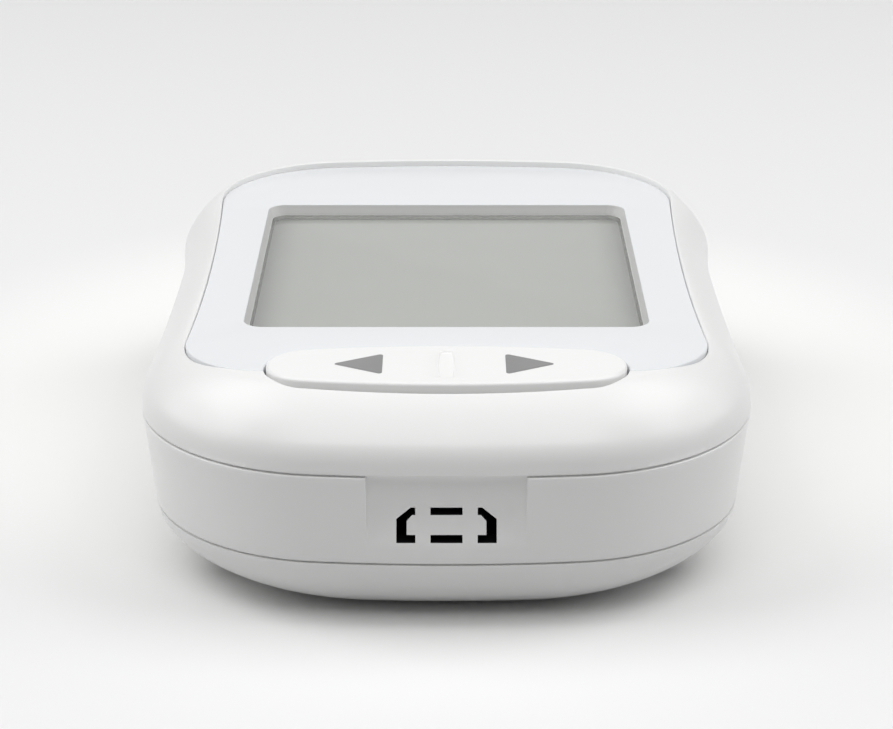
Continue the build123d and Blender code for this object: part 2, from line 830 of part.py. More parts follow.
def strip_guide():
    """Insert with a flared slot, flush outside and flanged inside."""
    guide = guide_body() & drafted_block()
    half = guide_width / 2 + guide_flange
    rise = guide_height / 2
    flange = box_between(
        (-half, far_y - inner_inset - guide_flange_thickness, strip_z - rise - guide_flange),
        (half, far_y, strip_z + rise),
    )
    guide += flange & raised(waisted_outline(body_plan, inner_inset + fit_gap), 0, panel_z)
    guide -= box_between(
        (-strip_width / 2, 0, strip_z - strip_slot_height / 2),
        (strip_width / 2, far_y + overcut, strip_z + strip_slot_height / 2),
    )
    mouth = Plane.XZ.offset(-far_y) * Pos(0, strip_z)
    wide = mouth * Rectangle(strip_width + 2 * guide_flare, strip_slot_height + 2 * guide_flare)
    narrow = Plane.XZ.offset(-far_y + 2 * guide_flare) * Pos(0, strip_z)
    narrow *= Rectangle(strip_width, strip_slot_height)
    return guide - loft([wide, narrow])


def connector_span():
    """Near and far ends of the strip connector."""
    far_end = far_y - inner_inset - guide_flange_thickness - fit_gap
    return far_end - connector_length, far_end


def strip_connector():
    """Housing under the board with the strip's channel and one groove per contact."""
    near_end, far_end = connector_span()
    middle = (near_end + far_end) / 2
    body = hung_box(0, middle, connector_width, connector_length, connector_height)
    half = strip_width / 2
    body -= box_between(
        (-half, near_end + connector_end_wall, strip_z - strip_slot_height / 2),
        (half, far_end + overcut, strip_z + strip_slot_height / 2),
    )
    for index in range(contact_count):
        x = (index - (contact_count - 1) / 2) * contact_pitch
        slot = contact_width / 2 + fit_gap
        body -= box_between(
            (x - slot, near_end + connector_end_wall, strip_z),
            (x + slot, far_end - connector_end_wall, board_under_z),
        )
    return body


def strip_contacts():
    """Spring fingers that press on the strip, soldered to the board behind."""
    near_end, far_end = connector_span()
    foot_y, knee_z = near_end + finger_foot, strip_z + finger_knee
    touch = (far_end - finger_touch[0], strip_z + finger_touch[1])
    tip = (far_end - finger_tip[0], strip_z + finger_tip[1])
    under = [(foot_y, board_under_z), (foot_y, knee_z), touch, tip]
    over = [(y, z + contact_thickness) for y, z in (tip, touch)]
    over += [(foot_y + contact_thickness, knee_z + contact_thickness)]
    over += [(foot_y + contact_thickness, board_under_z)]
    profile = make_face(Plane.YZ * Polyline(*under, *over, close=True))
    finger = extrude(profile, amount=contact_width / 2, both=True)
    middle = (contact_count - 1) / 2
    return group([Pos((i - middle) * contact_pitch, 0) * finger for i in range(contact_count)])


# ---------------------------------------------------------------- cells and their contacts
def cell(side):
    """One cell; its positive end is far on the left side and near on the right."""
    can_length = cell_length - nub_height
    if side < 0:
        can_y, nub_y = cell_near_y + can_length / 2, cell_far_y - nub_height / 2
    else:
        can_y, nub_y = cell_far_y - can_length / 2, cell_near_y + nub_height / 2
    x = side * cell_pitch / 2
    can = Rot(90, 0, 0) * Cylinder(cell_radius, can_length)
    can = chamfer(can.edges(), cell_chamfer)
    nub = Rot(90, 0, 0) * Cylinder(nub_radius, nub_height)
    return Pos(x, can_y, cell_z) * can + Pos(x, nub_y, cell_z) * nub


def sprung_bow(x, wall_y, inward, reach):
    """Bowed leaf that stands off its plate by a reach and presses on a cell."""
    half = contact_half_width - bow_margin
    radius = (half**2 + reach**2) / (2 * reach)
    centre = Pos(x, wall_y + inward * (reach - radius))
    ring = centre * (Circle(radius) - Circle(radius - contact_plate))
    keep_y = wall_y + inward * reach / 2
    ring &= Pos(x, keep_y) * Rectangle(4 * contact_half_width, reach)
    return raised(ring, cell_z - bow_height / 2, cell_z + bow_height / 2)


def contact(sides, wall_y, inward, end_gap, tail):
    """Plate against the bay's end with one bowed leaf for each cell that it meets."""
    low_x = min(sides) * cell_pitch / 2 - contact_half_width
    high_x = max(sides) * cell_pitch / 2 + contact_half_width
    y_values = sorted((wall_y, wall_y + inward * contact_plate))
    half = contact_height / 2
    piece = box_between((low_x, y_values[0], cell_z - half), (high_x, y_values[1], cell_z + half))
    for side in sides:
        x = side * cell_pitch / 2
        piece += sprung_bow(x, wall_y, inward, end_gap - contact_clearance)
        if tail:
            piece += box_between(
                (x - tail_width / 2, y_values[0], cell_z),
                (x + tail_width / 2, y_values[1], board_z + tail_rise),
            )
    return piece


def case_screws():
    """Four pan-head screws, driven up from the base into the posts."""
    width, slot, depth = screw_recess
    head_z = screw_seat_z - screw_head_height
    screw = rod((0, 0), screw_head_radius, head_z, screw_seat_z)
    screw += rod((0, 0), screw_radius, screw_seat_z, screw_seat_z + screw_length)
    cross = Box(width, slot, 2 * depth) + Box(slot, width, 2 * depth)
    screw -= Pos(0, 0, head_z) * cross
    return group([Pos(x, y) * screw for x, y in posts])


def group(solids):
    """Separate solids of one kind that share a node."""
    return Compound(children=[piece.solid() for piece in solids])


pieces = {
    "upper_case": upper_case(),
    "mid_case": mid_case(),
    "lower_case": lower_case(),
    "face_panel": face_panel(),
    "display_lens": display_lens(),
    "lcd_glass": lcd_glass(),
    "lcd_frame": lcd_frame(),
    "zebra_strip": zebra_strip(),
    "rocker_key": rocker_key(),
    "tact_switches": tact_switches(),
    "main_board": main_board(),
    "microcontroller": microcontroller(),
    "memory_chip": memory_chip(),
    "crystal": crystal(),
    "chip_parts": chip_parts(),
    "buzzer": buzzer(),
    "strip_guide": strip_guide(),
    "strip_connector": strip_connector(),
    "strip_contacts": strip_contacts(),
    "cell_left": cell(-1),
    "cell_right": cell(1),
    "link_contact": contact((-1, 1), bay_near_y, 1, bay_end_near, False),
    "positive_contact": contact((-1,), bay_far_y, -1, bay_end_far, True),
    "negative_contact": contact((1,), bay_far_y, -1, bay_end_far, True),
    "battery_door": battery_door(),
    "case_screws": case_screws(),
}

os.makedirs("parts", exist_ok=True)
for name, piece in pieces.items():
    export_step(piece, f"parts/{name}.step")
    print(name, "written")
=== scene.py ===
import math
import bmesh
import bpy
import numpy as np
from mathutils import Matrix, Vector


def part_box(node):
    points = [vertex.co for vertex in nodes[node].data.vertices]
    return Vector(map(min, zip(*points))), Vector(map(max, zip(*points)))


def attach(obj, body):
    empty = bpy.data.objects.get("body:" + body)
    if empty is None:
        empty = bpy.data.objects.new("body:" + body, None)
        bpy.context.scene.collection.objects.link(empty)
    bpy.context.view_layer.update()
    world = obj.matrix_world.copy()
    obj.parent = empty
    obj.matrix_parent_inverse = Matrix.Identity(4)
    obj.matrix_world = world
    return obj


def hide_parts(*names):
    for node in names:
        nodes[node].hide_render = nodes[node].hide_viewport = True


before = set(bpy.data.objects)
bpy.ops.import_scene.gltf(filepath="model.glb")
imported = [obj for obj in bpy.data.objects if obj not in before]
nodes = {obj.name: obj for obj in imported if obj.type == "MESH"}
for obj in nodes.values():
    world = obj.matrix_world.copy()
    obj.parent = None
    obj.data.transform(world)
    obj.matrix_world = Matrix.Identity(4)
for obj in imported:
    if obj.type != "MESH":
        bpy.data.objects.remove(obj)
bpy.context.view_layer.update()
mm = 0.001  # sizes below are in millimetres, meshes are in metres
print("frame loaded:", len(nodes), "nodes")


# plan curves, seen from above: x across, y from the near end to the far end
bodyPlan = {
    "near": -38.5, "far": 38.5, "half": 26.8, "farHalf": 27.05, "waistHalf": 26.25, "waist": 7.5,
    "nearCorner": 17.3, "farCorner": 17.3, "nearBow": 110.0, "farBow": 110.0,
}
panelPlan = {
    "near": -30.0, "far": 32.9, "half": 22.65, "farHalf": 22.9, "waistHalf": 22.2, "waist": -6.0,
    "nearCorner": 7.0, "farCorner": 12.3, "nearBow": 5000.0, "farBow": 110.0,
}
keyPlan = {"halfLength": 15.25, "halfWidth": 4.675, "endRadius": 3.8, "y": -29.425}
windowPlan = {"halfWidth": 18.0, "near": -18.9, "far": 18.5, "corner": 1.8, "cornerSteps": 10}


def direction(a, b):
    # angle of the line from a to b
    return math.atan2(b[1] - a[1], b[0] - a[0])


def waistedArcs(plan, inset=0.0):
    # right half of the outline, near middle to far middle: a bowed end, a corner, a hollow side
    # to the waist and the same again, each arc tangent to the next; each row is centre x,
    # centre y, radius, start angle, turn, side (1 round, -1 hollow)
    near, far = plan["near"] + inset, plan["far"] - inset
    nearHalf, farHalf = plan["half"] - inset, plan.get("farHalf", plan["half"]) - inset
    waist = (plan["waistHalf"] - inset, plan["waist"])
    centres, radii, bows = [], [], []
    for name, end, half, inward in (("near", near, nearHalf, 1), ("far", far, farHalf, -1)):
        radius, bow = plan[name + "Corner"] - inset, plan[name + "Bow"] - inset
        across = half - radius
        along = bow - math.sqrt((bow - radius) ** 2 - across**2)
        centres.append((across, end + inward * along))
        radii.append(radius)
        bows.append(((0.0, end + inward * bow), bow))
    hollows = []
    for centre, radius, half in zip(centres, radii, (nearHalf, farHalf)):
        dip, run = half - waist[0], waist[1] - centre[1]
        hollow = (run**2 / dip + dip) / 2 - radius
        hollows.append(((waist[0] + hollow, waist[1]), hollow))
    nearJoin = direction(bows[0][0], centres[0])
    nearSide = direction(centres[0], hollows[0][0])
    farSide = direction(centres[1], hollows[1][0])
    farJoin = direction(bows[1][0], centres[1])
    halfTurn = math.pi
    return np.array([
        (*bows[0][0], bows[0][1], -halfTurn / 2, nearJoin + halfTurn / 2, 1),
        (*centres[0], radii[0], nearJoin, nearSide - nearJoin, 1),
        (*hollows[0][0], hollows[0][1], halfTurn + nearSide, -nearSide, -1),
        (*hollows[1][0], hollows[1][1], halfTurn, farSide, -1),
        (*centres[1], radii[1], farSide, farJoin - farSide, 1),
        (*bows[1][0], bows[1][1], farJoin, halfTurn / 2 - farJoin, 1),
    ])


def alongArcs(arcs, steps):
    # point = centre + radius * (cos, sin) at each arc-length step; normal points out of the body
    lengths = arcs[:, 2] * np.abs(arcs[:, 4])
    starts = np.concatenate([[0], np.cumsum(lengths)[:-1]])
    row = np.clip(np.searchsorted(starts, steps, side="right") - 1, 0, len(arcs) - 1)
    cx, cy, radius, start, turn, side = arcs[row].T
    angle = start + np.sign(turn) * (steps - starts[row]) / radius
    ray = np.stack([np.cos(angle), np.sin(angle)], 1)
    return np.stack([cx, cy], 1) + ray * radius[:, None], ray * side[:, None]


def stepsAlong(arcs, spacing, extra=()):
    # even steps inside each arc, with every joint between arcs kept, plus any extra lengths
    lengths = arcs[:, 2] * np.abs(arcs[:, 4])
    ends = np.concatenate([[0], np.cumsum(lengths)])
    parts = [np.linspace(a, b, max(3, int((b - a) / spacing) + 1)) for a, b in zip(ends, ends[1:])]
    return np.unique(np.round(np.concatenate(parts + [np.array(extra, float)]), 7))


def wholeRing(points, normals):
    # the right half and its mirror as one loop, counterclockwise from the near middle
    flip = np.array([-1.0, 1.0])
    left = slice(-2, 0, -1)
    return np.vstack([points, points[left] * flip]), np.vstack([normals, normals[left] * flip])


def footOn(points, arcs, slack=0.05, outside=0.01):
    # depth of each point inside the outline, and the outward normal at its nearest foot; slack is
    # how far past an arc's ends, and outside how far out of the outline, a point still counts
    side = np.where(points[:, 0] < 0, -1.0, 1.0)
    right = np.abs(points[:, 0])
    depth = np.full(len(points), np.inf)
    normal = np.zeros((len(points), 2))
    for cx, cy, radius, start, turn, kind in arcs:
        away = np.stack([right - cx, points[:, 1] - cy], 1)
        reach = np.linalg.norm(away, axis=1)
        angle = np.arctan2(away[:, 1], away[:, 0])
        over = slack / radius
        rel = ((angle - start) * np.sign(turn) + over) % (2 * math.pi) - over
        here = kind * (radius - reach)
        better = (rel <= abs(turn) + over) & (here < depth) & (here > -outside)
        depth = np.where(better, here, depth)
        normal = np.where(better[:, None], kind * away / reach[:, None], normal)
    normal[:, 0] *= side
    return depth, normal


def ovalArcs(plan, grow=0.0):
    # front right quarter of the key's oval: bowed front, then the round end
    a, b, r = (plan[k] + grow for k in ("halfLength", "halfWidth", "endRadius"))
    across = a - r
    bow = (across**2 + b**2 - r**2) / (2 * (b - r))
    join = math.atan2(b - bow, across)
    return np.array([
        (0.0, plan["y"] + bow - b, bow, -math.pi / 2, join + math.pi / 2, 1),
        (across, plan["y"], r, join, -join, 1),
    ])


def rectangle(half, low, high):
    # four corners, as wide to the left as to the right, counterclockwise
    return np.array([(-half, low), (half, low), (half, high), (-half, high)])


def mirrored(arcs, y):
    # the same arcs turned over a line of constant y, run the other way
    out = arcs[::-1].copy()
    out[:, 1] = 2 * y - out[:, 1]
    out[:, 3] = -(arcs[::-1, 3] + arcs[::-1, 4])
    return out


# mesh building
mergeWithin = 1e-8  # metres; points nearer than this become one
smallRim = 2  # facets across the rims of pieces that are hardly seen


def faceOutward(mesh):
    # joins points that coincide and turns every face outwards
    work = bmesh.new()
    work.from_mesh(mesh)
    bmesh.ops.remove_doubles(work, verts=work.verts, dist=mergeWithin)
    bmesh.ops.recalc_face_normals(work, faces=work.faces)
    work.to_mesh(mesh)
    work.free()


def finishMesh(obj, material, body, replaced=(), sharp=35.0):
    # closes the mesh, marks edges sharper than the angle, and gives the piece its body and its
    # material; with None it keeps those it has
    mesh = obj.data
    faceOutward(mesh)
    mesh.set_sharp_from_angle(angle=math.radians(sharp))
    if material:
        mesh.materials.clear()
        mesh.materials.append(material)
    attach(obj, body)
    if replaced:
        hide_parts(*replaced)


def linked(name, mesh):
    # an object at the origin that carries the mesh
    obj = bpy.data.objects.new(name, mesh)
    bpy.context.scene.collection.objects.link(obj)
    return obj


def meshFrom(name, verts, faces, smooth=True):
    # points in millimetres and faces by their point numbers
    mesh = bpy.data.meshes.new(name)
    mesh.from_pydata((np.asarray(verts) * mm).tolist(), [], [list(map(int, f)) for f in faces])
    mesh.polygons.foreach_set("use_smooth", np.full(len(mesh.polygons), smooth))
    mesh.update()
    return linked(name, mesh)


def gridFaces(rows, columns, closedRows=False):
    # four corners of each cell of a rows x columns grid whose columns go all the way round
    r, c = np.meshgrid(np.arange(rows if closedRows else rows - 1), np.arange(columns), indexing="ij")
    r2, c2 = (r + 1) % rows, (c + 1) % columns
    quads = np.stack([r * columns + c, r * columns + c2, r2 * columns + c2, r2 * columns + c], -1)
    return quads.reshape(-1, 4)


def gridPiece(name, surface, closedRows=True):
    # surface is rows x columns x 3; both ways round for a ring with a closed section
    rows, columns = surface.shape[:2]
    return meshFrom(name, surface.reshape(-1, 3), gridFaces(rows, columns, closedRows))


def cut(obj, cutters):
    # takes the cutters away from obj and leaves plain mesh; both need outward faces first
    faceOutward(obj.data)
    for cutter in cutters:
        faceOutward(cutter.data)
        step = obj.modifiers.new("cut", "BOOLEAN")
        step.operation = "DIFFERENCE"
        step.solver = "EXACT"
        step.object = cutter
    bpy.context.view_layer.update()
    done = bpy.data.meshes.new_from_object(obj.evaluated_get(bpy.context.evaluated_depsgraph_get()))
    obj.modifiers.clear()
    obj.data = done
    for cutter in cutters:
        bpy.data.objects.remove(cutter)
    return obj


def prism(name, outline, start, end):
    # straight-sided solid: an outline in x and z carried along y from start to end
    n = len(outline)
    verts = np.vstack([np.c_[outline[:, 0], np.full(n, y), outline[:, 1]] for y in (start, end)])
    faces = gridFaces(2, n).tolist() + [list(range(n))[::-1], list(range(n, 2 * n))]
    return meshFrom(name, verts, faces, smooth=False)


def twoTones(obj, main, other, pick):
    # main all over, and other on the faces that pick chooses from their middles (mm) and normals
    mesh = obj.data
    mesh.materials.clear()
    mesh.materials.append(main)
    mesh.materials.append(other)
    middles, facing = np.empty(3 * len(mesh.polygons)), np.empty(3 * len(mesh.polygons))
    mesh.polygons.foreach_get("center", middles)
    mesh.polygons.foreach_get("normal", facing)
    chosen = pick(middles.reshape(-1, 3).T / mm, np.abs(facing.reshape(-1, 3).T))
    mesh.polygons.foreach_set("material_index", chosen.astype(int))
    return obj


def roundedPolygon(corners, radius, steps=5):
    # each corner becomes an arc: centre one radius in from both sides, swept from side to side
    corners = np.asarray(corners, float)
    before, after = np.roll(corners, 1, 0), np.roll(corners, -1, 0)
    into = (corners - before) / np.linalg.norm(corners - before, axis=1)[:, None]
    away = (after - corners) / np.linalg.norm(after - corners, axis=1)[:, None]
    turn = np.arctan2(into[:, 0] * away[:, 1] - into[:, 1] * away[:, 0], (into * away).sum(1))
    back = radius * np.tan(turn / 2)
    centre = corners - into * back[:, None] + np.c_[-into[:, 1], into[:, 0]] * radius
    start = np.arctan2(-into[:, 0], into[:, 1])
    angle = start[:, None] + turn[:, None] * np.linspace(0, 1, steps + 1)
    arc = centre[:, None] + radius * np.stack([np.cos(angle), np.sin(angle)], -1)
    return arc.reshape(-1, 2)


def loopNormals(loop, outward=1):
    # normal at each point of a counterclockwise loop, from its two neighbours
    tangent = np.roll(loop, -1, 0) - np.roll(loop, 1, 0)
    tangent /= np.linalg.norm(tangent, axis=1)[:, None]
    return outward * np.c_[tangent[:, 1], -tangent[:, 0]]


def plate(name, loops, low, high, edge=0.1, steps=4, lean=0.0):
    # flat plate with holes: each loop carries a rounded rim, and flat caps join the rims;
    # loops are (points, 1 for the outside or -1 for a hole), all counterclockwise; a hole
    # narrows by lean from top to bottom
    work = bmesh.new()
    caps = {"high": [], "low": []}
    angle = np.linspace(0, math.pi / 2, steps + 1)
    for loop, side in loops:
        draft = lean if side < 0 else 0.0
        inset = np.concatenate([edge * (1 - np.sin(angle)), [-draft / 2], [-draft]])
        height = np.concatenate([high - edge * (1 - np.cos(angle)), [low + (high - low) / 2], [low]])
        rows = loop[None] - loopNormals(loop, side)[None] * inset[:, None, None]
        grid = np.dstack([rows, np.broadcast_to(height[:, None], rows.shape[:2])]) * mm
        verts = [work.verts.new(v) for v in grid.reshape(-1, 3).tolist()]
        for quad in gridFaces(len(height), len(loop)):
            work.faces.new([verts[i] for i in quad]).smooth = True
        n = len(loop)
        for which, ring in (("high", verts[:n]), ("low", verts[-n:])):
            caps[which] += [work.edges.get((ring[i], ring[(i + 1) % n])) for i in range(n)]
    for ring in caps.values():
        bmesh.ops.triangle_fill(work, use_beauty=True, edges=ring)
    mesh = bpy.data.meshes.new(name)
    work.to_mesh(mesh)
    work.free()
    return linked(name, mesh)


# shared shader groups
def newGroup(name, inputs, outputs):
    # a node group with these sockets, its input node and its output node
    group = bpy.data.node_groups.new(name, "ShaderNodeTree")
    for label, kind, value in inputs:
        socket = group.interface.new_socket(label, in_out="INPUT", socket_type=kind)
        socket.default_value = value
    for label, kind in outputs:
        group.interface.new_socket(label, in_out="OUTPUT", socket_type=kind)
    return group, group.nodes.new("NodeGroupInput"), group.nodes.new("NodeGroupOutput")


def setInputs(node, **values):
    # an underscore stands for the space in an input's name
    for key, value in values.items():
        node.inputs[key.replace("_", " ")].default_value = value


def put(tree, kind, links=(), **values):
    # one node; a value is one of its settings where it has one of that name, or else an input
    node = tree.nodes.new(kind)
    for key, value in values.items():
        if hasattr(node, key):
            setattr(node, key, value)
        else:
            setInputs(node, **{key: value})
    for source, target in links:
        tree.links.new(source, node.inputs[target])
    return node


def colourMix(tree, share, first, second):
    # first where share is 0, second where it is 1; each is a colour or an output of another node
    mix = tree.nodes.new("ShaderNodeMix")
    mix.data_type = "RGBA"
    tree.links.new(share, mix.inputs["Factor"])
    for socket, value in zip(mix.inputs[6:8], (first, second)):  # 6 and 7 are its two colours
        if isinstance(value, tuple):
            socket.default_value = (*value, 1)
        else:
            tree.links.new(value, socket)
    return mix.outputs[2]  # the mixed colour


def newMaterial(name):
    material = bpy.data.materials.new(name)
    material.use_nodes = True
    return material, material.node_tree, material.node_tree.nodes["Principled BSDF"]


def mouldGrain():
    # fine spark-eroded grain of a moulded skin, and slow waves of gloss
    group, into, out = newGroup(
        "mouldGrain",
        [("Grain Scale", "NodeSocketFloat", 5000.0), ("Grain Depth", "NodeSocketFloat", 0.1),
         ("Gloss Low", "NodeSocketFloat", 0.2), ("Gloss High", "NodeSocketFloat", 0.3)],
        [("Normal", "NodeSocketVector"), ("Roughness", "NodeSocketFloat")],
    )
    place = put(group, "ShaderNodeTexCoord").outputs["Object"]
    fine = put(group, "ShaderNodeTexNoise", [(place, "Vector"), (into.outputs["Grain Scale"], "Scale")],
               Detail=3.0, Roughness=0.6)
    bump = put(group, "ShaderNodeBump",
               [(fine.outputs["Fac"], "Height"), (into.outputs["Grain Depth"], "Strength")],
               Distance=0.00002)
    slow = put(group, "ShaderNodeTexNoise", [(place, "Vector")], Scale=90.0, Detail=2.0)
    spread = put(group, "ShaderNodeMapRange",
                 [(slow.outputs["Fac"], "Value"), (into.outputs["Gloss Low"], "To Min"),
                  (into.outputs["Gloss High"], "To Max")])
    group.links.new(bump.outputs["Normal"], out.inputs["Normal"])
    group.links.new(spread.outputs["Result"], out.inputs["Roughness"])
    return group


def toneDrift():
    # a colour that wanders very slightly over the piece, as pigment and light ageing make it
    group, into, out = newGroup(
        "toneDrift",
        [("Main", "NodeSocketColor", (1, 1, 1, 1)), ("Other", "NodeSocketColor", (1, 1, 1, 1)),
         ("Scale", "NodeSocketFloat", 60.0), ("Amount", "NodeSocketFloat", 0.5)],
        [("Color", "NodeSocketColor")],
    )
    place = put(group, "ShaderNodeTexCoord").outputs["Object"]
    noise = put(group, "ShaderNodeTexNoise", [(place, "Vector"), (into.outputs["Scale"], "Scale")],
                Detail=4.0)
    share = put(group, "ShaderNodeMath", [(noise.outputs["Fac"], 0), (into.outputs["Amount"], 1)],
                operation="MULTIPLY")
    tone = colourMix(group, share.outputs[0], into.outputs["Main"], into.outputs["Other"])
    group.links.new(tone, out.inputs["Color"])
    return group


grainGroup, driftGroup = mouldGrain(), toneDrift()


def plastic(name, main, other, gloss, grainDepth=0.1, grainScale=5000.0, drift=0.5, driftScale=60.0,
            **settings):
    # Principled shader whose colour drifts from main to other, with moulded grain; gloss is the
    # lowest and the highest roughness
    material, tree, shader = newMaterial(name)
    tone = put(tree, "ShaderNodeGroup", node_tree=driftGroup)
    setInputs(tone, Main=(*main, 1), Other=(*other, 1), Scale=driftScale, Amount=drift)
    grain = put(tree, "ShaderNodeGroup", node_tree=grainGroup)
    setInputs(grain, Grain_Scale=grainScale, Grain_Depth=grainDepth, Gloss_Low=gloss[0], Gloss_High=gloss[1])
    tree.links.new(tone.outputs["Color"], shader.inputs["Base Color"])
    tree.links.new(grain.outputs["Roughness"], shader.inputs["Roughness"])
    tree.links.new(grain.outputs["Normal"], shader.inputs["Normal"])
    setInputs(shader, **settings)
    return material


coat = {"Coat_Weight": 0.35, "Coat_Roughness": 0.3}
shellWhite = plastic("shellWhite", (0.88, 0.88, 0.875), (0.85, 0.85, 0.84), (0.26, 0.4), drift=0.4, **coat)
keyWhite = plastic("keyWhite", (0.9, 0.9, 0.895), (0.87, 0.87, 0.86), (0.3, 0.44), drift=0.4, **coat)
# painted shade: near-black for the walls of the port slots, standing for the darkness inside them
slotShadeBlack = plastic("slotShadeBlack", (0.006, 0.006, 0.006), (0.01, 0.01, 0.01), (0.6, 0.8),
                    Specular_IOR_Level=0.03)
maskGrey = plastic("maskGrey", (0.88, 0.885, 0.86), (0.86, 0.865, 0.84), (0.5, 0.65), grainDepth=0.05)
panelPale = plastic("panelPale", (0.82, 0.835, 0.855), (0.79, 0.81, 0.835), (0.12, 0.22),
                    grainDepth=0.03, drift=0.4)
# painted shade: a darker grey for the upright walls of the panel's window, standing for the shade inside the
# window, not a colour of their own
windowWallShade = plastic("windowWallShade", (0.72, 0.725, 0.715), (0.7, 0.705, 0.69), (0.4, 0.55), grainDepth=0.05)
symbolGrey = plastic("symbolGrey", (0.24, 0.24, 0.24), (0.2, 0.2, 0.2), (0.4, 0.55), drift=0.6)
lcdGrey = plastic("lcdGrey", (0.575, 0.585, 0.56), (0.55, 0.56, 0.54), (0.45, 0.6), grainDepth=0.05,
                  driftScale=25.0)
frameWhite = plastic("frameWhite", (0.78, 0.78, 0.76), (0.72, 0.72, 0.70), (0.45, 0.6))
zebraRubber = plastic("zebraRubber", (0.05, 0.05, 0.055), (0.3, 0.18, 0.16), (0.6, 0.8), driftScale=3000.0)
boardGreen = plastic("boardGreen", (0.03, 0.17, 0.08), (0.02, 0.11, 0.05), (0.3, 0.5), drift=1.0,
                     driftScale=400.0)
chipBlack = plastic("chipBlack", (0.025, 0.025, 0.027), (0.05, 0.05, 0.05), (0.5, 0.7))
steel = plastic("steel", (0.6, 0.6, 0.6), (0.5, 0.5, 0.5), (0.25, 0.4), Metallic=1.0)
springSteel = plastic("springSteel", (0.68, 0.67, 0.64), (0.58, 0.57, 0.54), (0.2, 0.35), Metallic=1.0)
contactGold = plastic("contactGold", (0.8, 0.6, 0.26), (0.7, 0.5, 0.2), (0.2, 0.35), Metallic=1.0)
cellWrap = plastic("cellWrap", (0.08, 0.1, 0.14), (0.06, 0.07, 0.1), (0.2, 0.3))


def clearLens():
    # clear moulded acrylic; lamps shine through it onto the display
    material, tree, shader = newMaterial("lensClear")
    setInputs(shader, Base_Color=(0.985, 0.99, 0.985, 1), Transmission_Weight=1.0, Roughness=0.02, IOR=1.49)
    path = put(tree, "ShaderNodeLightPath")
    through = put(tree, "ShaderNodeBsdfTransparent")
    mix = put(tree, "ShaderNodeMixShader", [(path.outputs["Is Shadow Ray"], 0)])
    tree.links.new(shader.outputs[0], mix.inputs[1])
    tree.links.new(through.outputs[0], mix.inputs[2])
    tree.links.new(mix.outputs[0], tree.nodes["Material Output"].inputs["Surface"])
    return material


lensClear = clearLens()
print("materials made")


# upper case
upper = {
    "seam": 14.6, "height": 6.2, "crownSide": 4.5, "crownEnd": 5.3, "crownShare": 0.985, "rimRise": 0.594,
    "ledge": 18.8, "pocket": 19.8, "panelTop": 20.8, "wall": 2.4, "chamfer": 3.0, "seamEdge": 0.12,
    "rimEdge": 0.12, "pocketGap": 0.05, "keyGap": 0.2, "spacing": 0.3, "crownRows": 34, "flatRows": 3,
    "edgeRows": 4,
}
# the crown's section: height and lean of its wall, then radius, first and last slope of each arc
crownProfile = {"wall": 0.62, "lean": 0.03, "arcs": [(3.4, 0, 38), (12.18, 38, 62), (2.34, 62, 90)]}
bodyArcs = waistedArcs(bodyPlan)
pocketArcs = waistedArcs(panelPlan, -upper["pocketGap"])


def keyMeetsEdge(arcs, oval):
    # cuts the oval's end arc and the near edge where they cross, and joins them
    cx, cy, radius, start = oval[1, :4]
    edgeY = arcs[0, 1] - math.sqrt(arcs[0, 2] ** 2 - (cx + radius) ** 2)
    cross = math.asin((edgeY - cy) / radius)
    crossX = cx + radius * math.cos(cross)
    end = oval[1].copy()
    end[4] = cross - start
    edge = arcs[0].copy()
    edge[3] = math.atan2(edgeY - edge[1], crossX)
    edge[4] = arcs[0, 3] + arcs[0, 4] - edge[3]
    return end, edge


def turnedBetween(normal, side, end, corner):
    # one value facing the sides, one facing the ends and one round the corners
    across, along = np.abs(normal).T
    return corner + (side - corner) * across + (end - corner) * along


def crownCurve(steps=40):
    # depth and height shares of the crown's section: a short upright wall, then arcs of a radius
    # and a first and last slope a and b of the normal, in degrees; each point at a slope t is the
    # arc's first point + radius * (cos a - cos t, sin t - sin a)
    depth, height = [np.array([0, crownProfile["lean"]])], [np.array([0, crownProfile["wall"]])]
    for radius, first, last in crownProfile["arcs"]:
        a, t = math.radians(first), np.radians(np.linspace(first, last, steps)[1:])
        depth.append(depth[-1][-1] + radius * (math.cos(a) - np.cos(t)))
        height.append(height[-1][-1] + radius * (np.sin(t) - math.sin(a)))
    depth, height = np.concatenate(depth), np.concatenate(height)
    return depth / depth[-1], height / height[-1]


curveDepth, curveHeight = crownCurve()


def crownHeight(depth, y, width):
    # the crown's section over its width, then level; the top climbs towards the far end:
    # height = seam + section's share * (full height + slope * distance from the panel's near end)
    turned = np.interp(np.clip(depth / width, 0, 1), curveDepth, curveHeight)
    slope = upper["rimRise"] / (panelPlan["far"] - panelPlan["near"])
    return upper["seam"] + turned * (upper["height"] + slope * (y - panelPlan["near"]))


